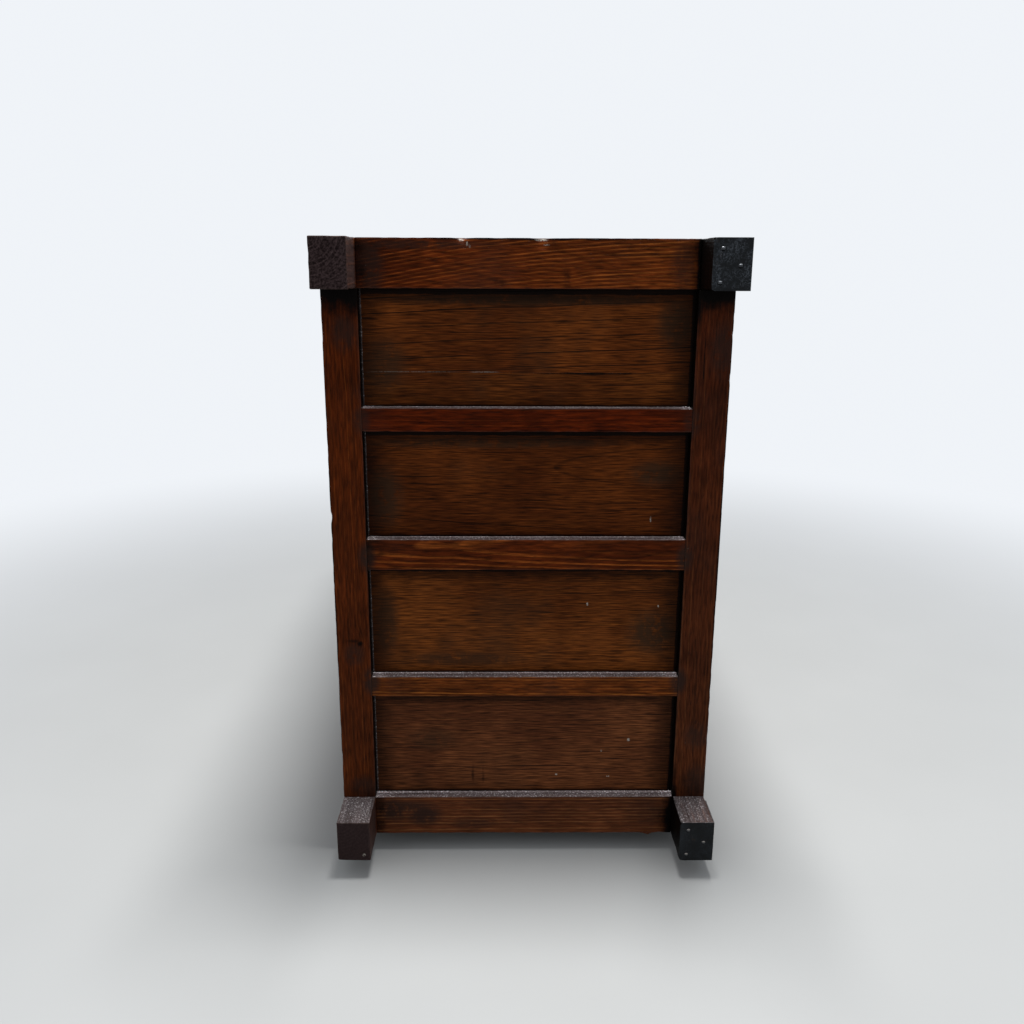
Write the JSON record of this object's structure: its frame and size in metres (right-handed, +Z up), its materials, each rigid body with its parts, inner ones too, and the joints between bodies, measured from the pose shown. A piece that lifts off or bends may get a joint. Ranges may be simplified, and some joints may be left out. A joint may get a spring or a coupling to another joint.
{
  "type": "wheeled chest",
  "caption": "Wheeled wooden storage chest: post and beam case with sliding doors, drawers and a hinged locker door, panelled ends and black iron fittings.",
  "frame": {"origin": "on the floor, under the middle of the whole chest's box", "axes": "+Z up, the front faces -Y, +X towards the right hand of the front, along the long beams"},
  "size_m": [1.253, 0.6514, 1.044],
  "materials": {
    "frame_wood": "dark reddish-brown stained softwood, worn satin lacquer",
    "panel_wood": "dark golden-brown stained softwood, worn satin lacquer",
    "front_wood": "dark brown stained wood fronts, satin lacquer, with plainer drawer boxes behind",
    "inner_wood": "pale unfinished softwood, dry and slightly dusty",
    "back_wood": "thin brown stain on rough boards",
    "wheel_wood": "dark, worn and dusty hardwood",
    "iron": "black lacquered forged iron, mottled and slightly rusted"
  },
  "bodies": {
    "case": {"beam_top_front": "frame_wood", "beam_base_front": "frame_wood", "post_front_left": "frame_wood", "post_front_right": "frame_wood", "beam_top_back": "frame_wood", "beam_base_back": "frame_wood", "post_back_left": "frame_wood", "post_back_right": "frame_wood", "end_rail_top_left": "frame_wood", "end_rail_base_left": "frame_wood", "end_rail_lower_left": "frame_wood", "end_rail_middle_left": "frame_wood", "end_rail_upper_left": "frame_wood", "end_panels_left": "panel_wood", "axle_left": "iron", "end_rail_top_right": "frame_wood", "end_rail_base_right": "frame_wood", "end_rail_lower_right": "frame_wood", "end_rail_middle_right": "frame_wood", "end_rail_upper_right": "frame_wood", "end_panels_right": "panel_wood", "axle_right": "iron", "front_rail_lower": "frame_wood", "front_rail_middle": "frame_wood", "top_boards": "panel_wood", "compartment_shelf": "inner_wood", "middle_deck": "inner_wood", "lower_deck": "inner_wood", "floor_boards": "inner_wood", "floor_joists": "inner_wood", "back_boards": "back_wood", "drawer_partition": "frame_wood", "locker_partition": "frame_wood", "drawer_runners": "inner_wood", "axle_blocks": "inner_wood", "axle_washers": "iron", "locker_hinge_leaves": "iron", "beam_caps": "iron", "post_straps": "iron", "case_nails": "iron"},
    "sliding_door_left": {"sliding_door_left": "front_wood", "door_irons_left": "iron"},
    "sliding_door_right": {"sliding_door_right": "front_wood", "door_irons_right": "iron"},
    "locker_door": {"locker_door": "front_wood", "locker_door_irons": "iron"},
    "locker_bail": {"locker_bail": "iron"},
    "drawer_left": {"drawer_left": "front_wood", "drawer_irons_left": "iron"},
    "drawer_bail_left": {"drawer_bail_left": "iron"},
    "drawer_right": {"drawer_right": "front_wood", "drawer_irons_right": "iron"},
    "drawer_bail_right": {"drawer_bail_right": "iron"},
    "drawer_wide": {"drawer_wide": "front_wood", "drawer_irons_wide": "iron"},
    "drawer_bail_wide": {"drawer_bail_wide": "iron"},
    "wheel_front_left": {"wheel_front_left": "wheel_wood"},
    "wheel_front_right": {"wheel_front_right": "wheel_wood"},
    "wheel_back_left": {"wheel_back_left": "wheel_wood"},
    "wheel_back_right": {"wheel_back_right": "wheel_wood"}
  },
  "joints": [
    {"name": "sliding_door_left_slide", "type": "slide", "parent": "case", "child": "sliding_door_left", "axis": [1, 0, 0], "range_m": [0, 0.4725]},
    {"name": "sliding_door_right_slide", "type": "slide", "parent": "case", "child": "sliding_door_right", "axis": [-1, 0, 0], "range_m": [0, 0.4725]},
    {"name": "drawer_left_slide", "type": "slide", "parent": "case", "child": "drawer_left", "axis": [0, -1, 0], "range_m": [0, 0.42]},
    {"name": "drawer_left_bail_pivot", "type": "hinge", "parent": "drawer_left", "child": "drawer_bail_left", "pos_m": [-0.2565, -0.31775, 0.44105], "axis": [-1, 0, 0], "range_deg": [-10, 150]},
    {"name": "drawer_right_slide", "type": "slide", "parent": "case", "child": "drawer_right", "axis": [0, -1, 0], "range_m": [0, 0.42]},
    {"name": "drawer_right_bail_pivot", "type": "hinge", "parent": "drawer_right", "child": "drawer_bail_right", "pos_m": [0.2565, -0.31775, 0.44105], "axis": [-1, 0, 0], "range_deg": [-10, 150]},
    {"name": "drawer_wide_slide", "type": "slide", "parent": "case", "child": "drawer_wide", "axis": [0, -1, 0], "range_m": [0, 0.42]},
    {"name": "drawer_wide_bail_pivot", "type": "hinge", "parent": "drawer_wide", "child": "drawer_bail_wide", "pos_m": [-0.178, -0.31775, 0.2143], "axis": [-1, 0, 0], "range_deg": [-10, 150]},
    {"name": "locker_door_hinge", "type": "hinge", "parent": "case", "child": "locker_door", "pos_m": [0.4926, -0.30905, 0.201], "axis": [0, 0, 1], "range_deg": [0, 105]},
    {"name": "locker_bail_pivot", "type": "hinge", "parent": "locker_door", "child": "locker_bail", "pos_m": [0.2558, -0.31775, 0.215], "axis": [-1, 0, 0], "range_deg": [-10, 150]},
    {"name": "wheel_front_left_spin", "type": "hinge", "parent": "case", "child": "wheel_front_left", "pos_m": [-0.4, -0.19295, 0.043], "axis": [0, 1, 0], "continuous": true},
    {"name": "wheel_front_right_spin", "type": "hinge", "parent": "case", "child": "wheel_front_right", "pos_m": [0.4, -0.19295, 0.043], "axis": [0, 1, 0], "continuous": true},
    {"name": "wheel_back_left_spin", "type": "hinge", "parent": "case", "child": "wheel_back_left", "pos_m": [-0.4, 0.21445, 0.043], "axis": [0, 1, 0], "continuous": true},
    {"name": "wheel_back_right_spin", "type": "hinge", "parent": "case", "child": "wheel_back_right", "pos_m": [0.4, 0.21445, 0.043], "axis": [0, 1, 0], "continuous": true}
  ]
}
